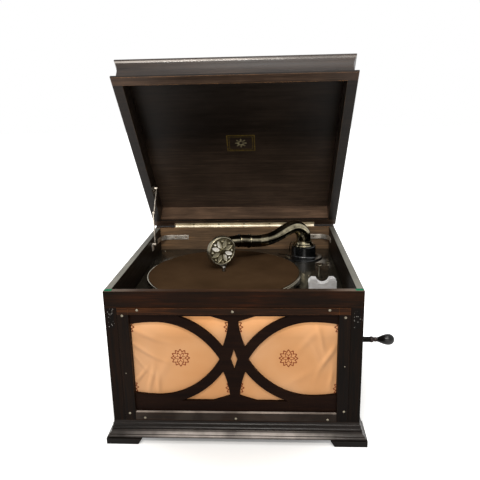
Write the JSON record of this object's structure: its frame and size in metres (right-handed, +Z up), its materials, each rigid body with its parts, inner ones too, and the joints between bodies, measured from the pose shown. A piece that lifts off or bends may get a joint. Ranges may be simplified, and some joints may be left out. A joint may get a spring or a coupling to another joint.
{
  "type": "tabletop gramophone",
  "caption": "Wooden tabletop gramophone with a hinged lid on a folding stay, felt turntable, swan-neck tonearm, fretted front over a horn, spring motor and side crank.",
  "frame": {"origin": "on the table under the centre of the case", "axes": "+X to the right seen from the front, +Y to the back, +Z up"},
  "size_m": [0.5555, 0.5008, 0.6602],
  "materials": {
    "case_side_left": "dark stained and polished",
    "case_side_right": "dark stained and polished",
    "case_back": "dark stained and polished",
    "case_front_frame": "dark stained and polished",
    "case_bottom": "plain, unpolished",
    "plinth_moulding": "dark stained and polished",
    "feet": "dark stained and polished",
    "motor_board": "glossy black",
    "board_battens": "plain, unpolished",
    "grille_strips": "dark stained and polished",
    "grille_fret": "dark stained",
    "grille_cloth": "woven grille cloth",
    "grille_screws": "worn nickel plate",
    "tin_clips": "worn nickel plate",
    "needle_pocket": "worn nickel plate",
    "hinge_leaf_case": "worn nickel plate",
    "hinge_pin": "worn nickel plate",
    "stay_bracket_case": "worn nickel plate",
    "crank_escutcheon": "worn nickel plate",
    "deck_screws": "worn nickel plate",
    "tonearm_base": "black enamel",
    "horn": "plain, unpolished",
    "motor_top_plate": "black enamel",
    "motor_bottom_plate": "black enamel",
    "governor_bearings": "black enamel",
    "lid_frame": "dark stained and polished",
    "lid_panel": "dark stained and polished",
    "lid_band": "dark stained and polished",
    "hinge_leaf_lid": "worn nickel plate",
    "stay_bracket_lid": "worn nickel plate",
    "stay_lower_arm": "worn nickel plate",
    "stay_upper_arm": "worn nickel plate",
    "turntable_platter": "worn nickel plate",
    "turntable_felt": "felt",
    "turntable_spindle": "bright steel",
    "governor_drive_wheel": "machined",
    "intermediate_gear": "machined",
    "spring_barrel": "machined",
    "mainspring": "bright steel",
    "winding_arbor": "bright steel",
    "winding_wheel": "machined",
    "winding_shaft": "bright steel",
    "crank_arm": "worn nickel plate",
    "crank_ferrule": "worn nickel plate",
    "crank_knob": "turned and polished",
    "governor_worm": "bright steel",
    "governor_weights": "machined",
    "governor_disc": "bright steel",
    "regulator_knob": "worn nickel plate",
    "regulator_lever": "bright steel",
    "brake_lever": "worn nickel plate",
    "tonearm_tube": "worn nickel plate",
    "tonearm_collar": "worn nickel plate",
    "trip_arm": "worn nickel plate",
    "soundbox_elbow": "worn nickel plate",
    "soundbox_body": "worn nickel plate",
    "soundbox_front": "worn nickel plate",
    "soundbox_diaphragm": "thin sheet",
    "needle_bar": "worn nickel plate",
    "needle": "bright steel"
  },
  "bodies": {
    "case": {"case_side_left": "case_side_left", "case_side_right": "case_side_right", "case_back": "case_back", "case_front_frame": "case_front_frame", "case_bottom": "case_bottom", "plinth_moulding": "plinth_moulding", "feet": "feet", "motor_board": "motor_board", "board_battens": "board_battens", "grille_strips": "grille_strips", "grille_fret": "grille_fret", "grille_cloth": "grille_cloth", "grille_screws": "grille_screws", "tin_clips": "tin_clips", "needle_pocket": "needle_pocket", "hinge_leaf_case": "hinge_leaf_case", "hinge_pin": "hinge_pin", "stay_bracket_case": "stay_bracket_case", "crank_escutcheon": "crank_escutcheon", "deck_screws": "deck_screws", "tonearm_base": "tonearm_base", "horn": "horn", "motor_top_plate": "motor_top_plate", "motor_bottom_plate": "motor_bottom_plate", "governor_bearings": "governor_bearings"},
    "lid": {"lid_frame": "lid_frame", "lid_panel": "lid_panel", "lid_band": "lid_band", "hinge_leaf_lid": "hinge_leaf_lid", "stay_bracket_lid": "stay_bracket_lid"},
    "stay_lower": {"stay_lower_arm": "stay_lower_arm"},
    "stay_upper": {"stay_upper_arm": "stay_upper_arm"},
    "turntable": {"turntable_platter": "turntable_platter", "turntable_felt": "turntable_felt", "turntable_spindle": "turntable_spindle", "governor_drive_wheel": "governor_drive_wheel"},
    "intermediate": {"intermediate_gear": "intermediate_gear"},
    "barrel": {"spring_barrel": "spring_barrel", "mainspring": "mainspring"},
    "arbor": {"winding_arbor": "winding_arbor", "winding_wheel": "winding_wheel"},
    "crank": {"winding_shaft": "winding_shaft", "crank_arm": "crank_arm", "crank_ferrule": "crank_ferrule"},
    "crank_grip": {"crank_knob": "crank_knob"},
    "governor": {"governor_worm": "governor_worm", "governor_weights": "governor_weights", "governor_disc": "governor_disc"},
    "regulator": {"regulator_knob": "regulator_knob"},
    "regulator_bar": {"regulator_lever": "regulator_lever"},
    "brake": {"brake_lever": "brake_lever"},
    "tonearm": {"tonearm_tube": "tonearm_tube", "tonearm_collar": "tonearm_collar", "trip_arm": "trip_arm"},
    "soundbox": {"soundbox_elbow": "soundbox_elbow", "soundbox_body": "soundbox_body", "soundbox_front": "soundbox_front", "soundbox_diaphragm": "soundbox_diaphragm", "needle_bar": "needle_bar", "needle": "needle"}
  },
  "joints": [
    {"name": "lid_hinge", "type": "hinge", "parent": "case", "child": "lid", "pos_m": [0, 0.2265, 0.28315], "axis": [1, 0, 0], "range_deg": [0, 49.85]},
    {"name": "stay_lower_pivot", "type": "hinge", "parent": "case", "child": "stay_lower", "pos_m": [-0.199, 0.118, 0.268], "axis": [1, 0, 0], "range_deg": [0, 86.63]},
    {"name": "stay_upper_pivot", "type": "hinge", "parent": "lid", "child": "stay_upper", "pos_m": [-0.1969, 0.1603, 0.38954], "axis": [1, 0, 0], "range_deg": [-73.53, 0]},
    {"name": "turntable_spin", "type": "hinge", "parent": "case", "child": "turntable", "pos_m": [-0.0298, -0.0301, 0.253], "axis": [0, 0, 1], "continuous": true},
    {"name": "intermediate_spin", "type": "hinge", "parent": "case", "child": "intermediate", "pos_m": [0.00623, -0.02612, 0.2], "axis": [0, 0, 1], "continuous": true},
    {"name": "barrel_spin", "type": "hinge", "parent": "case", "child": "barrel", "pos_m": [0.045, 0.02, 0.19], "axis": [0, 0, 1], "continuous": true},
    {"name": "governor_spin", "type": "hinge", "parent": "case", "child": "governor", "pos_m": [-0.05875, 0, 0.18], "axis": [0, 1, 0], "continuous": true},
    {"name": "crank_turn", "type": "hinge", "parent": "case", "child": "crank", "pos_m": [0.222, 0.02, 0.165], "axis": [1, 0, 0], "continuous": true},
    {"name": "arbor_turn", "type": "hinge", "parent": "case", "child": "arbor", "pos_m": [0.045, 0.02, 0.15], "axis": [0, 0, 1], "continuous": true},
    {"name": "crank_grip_spin", "type": "hinge", "parent": "crank", "child": "crank_grip", "pos_m": [0.2885, 0.02, 0.081], "axis": [1, 0, 0], "continuous": true},
    {"name": "regulator_turn", "type": "hinge", "parent": "case", "child": "regulator", "pos_m": [0.1658, 0.0395, 0.242], "axis": [0, 0, 1], "range_deg": [0, 90]},
    {"name": "regulator_bar_swing", "type": "hinge", "parent": "case", "child": "regulator_bar", "pos_m": [0.112, 0.058, 0.2026], "axis": [0, 0, 1], "range_deg": [0, 0.63]},
    {"name": "brake_swing", "type": "hinge", "parent": "case", "child": "brake", "pos_m": [0.04699, 0.08815, 0.231], "axis": [0, 0, 1], "range_deg": [0, 2.4]},
    {"name": "tonearm_swing", "type": "hinge", "parent": "case", "child": "tonearm", "pos_m": [0.1392, 0.1417, 0.2575], "axis": [0, 0, 1], "range_deg": [-45, 0.8]},
    {"name": "soundbox_turn", "type": "hinge", "parent": "tonearm", "child": "soundbox", "pos_m": [0.016, 0.0486, 0.2935], "axis": [0.8656, 0.4738, -0.1619], "range_deg": [-110, 0]}
  ],
  "couplings": [
    {"joint": "stay_lower_pivot", "follows": "lid_hinge", "ratio": 1.7378},
    {"joint": "stay_upper_pivot", "follows": "lid_hinge", "ratio": -1.475},
    {"joint": "intermediate_spin", "follows": "turntable_spin", "ratio": -0.2},
    {"joint": "barrel_spin", "follows": "turntable_spin", "ratio": 0.04},
    {"joint": "governor_spin", "follows": "turntable_spin", "ratio": 12},
    {"joint": "arbor_turn", "follows": "crank_turn", "ratio": 0.4},
    {"joint": "regulator_bar_swing", "follows": "regulator_turn", "ratio": 0.007}
  ]
}
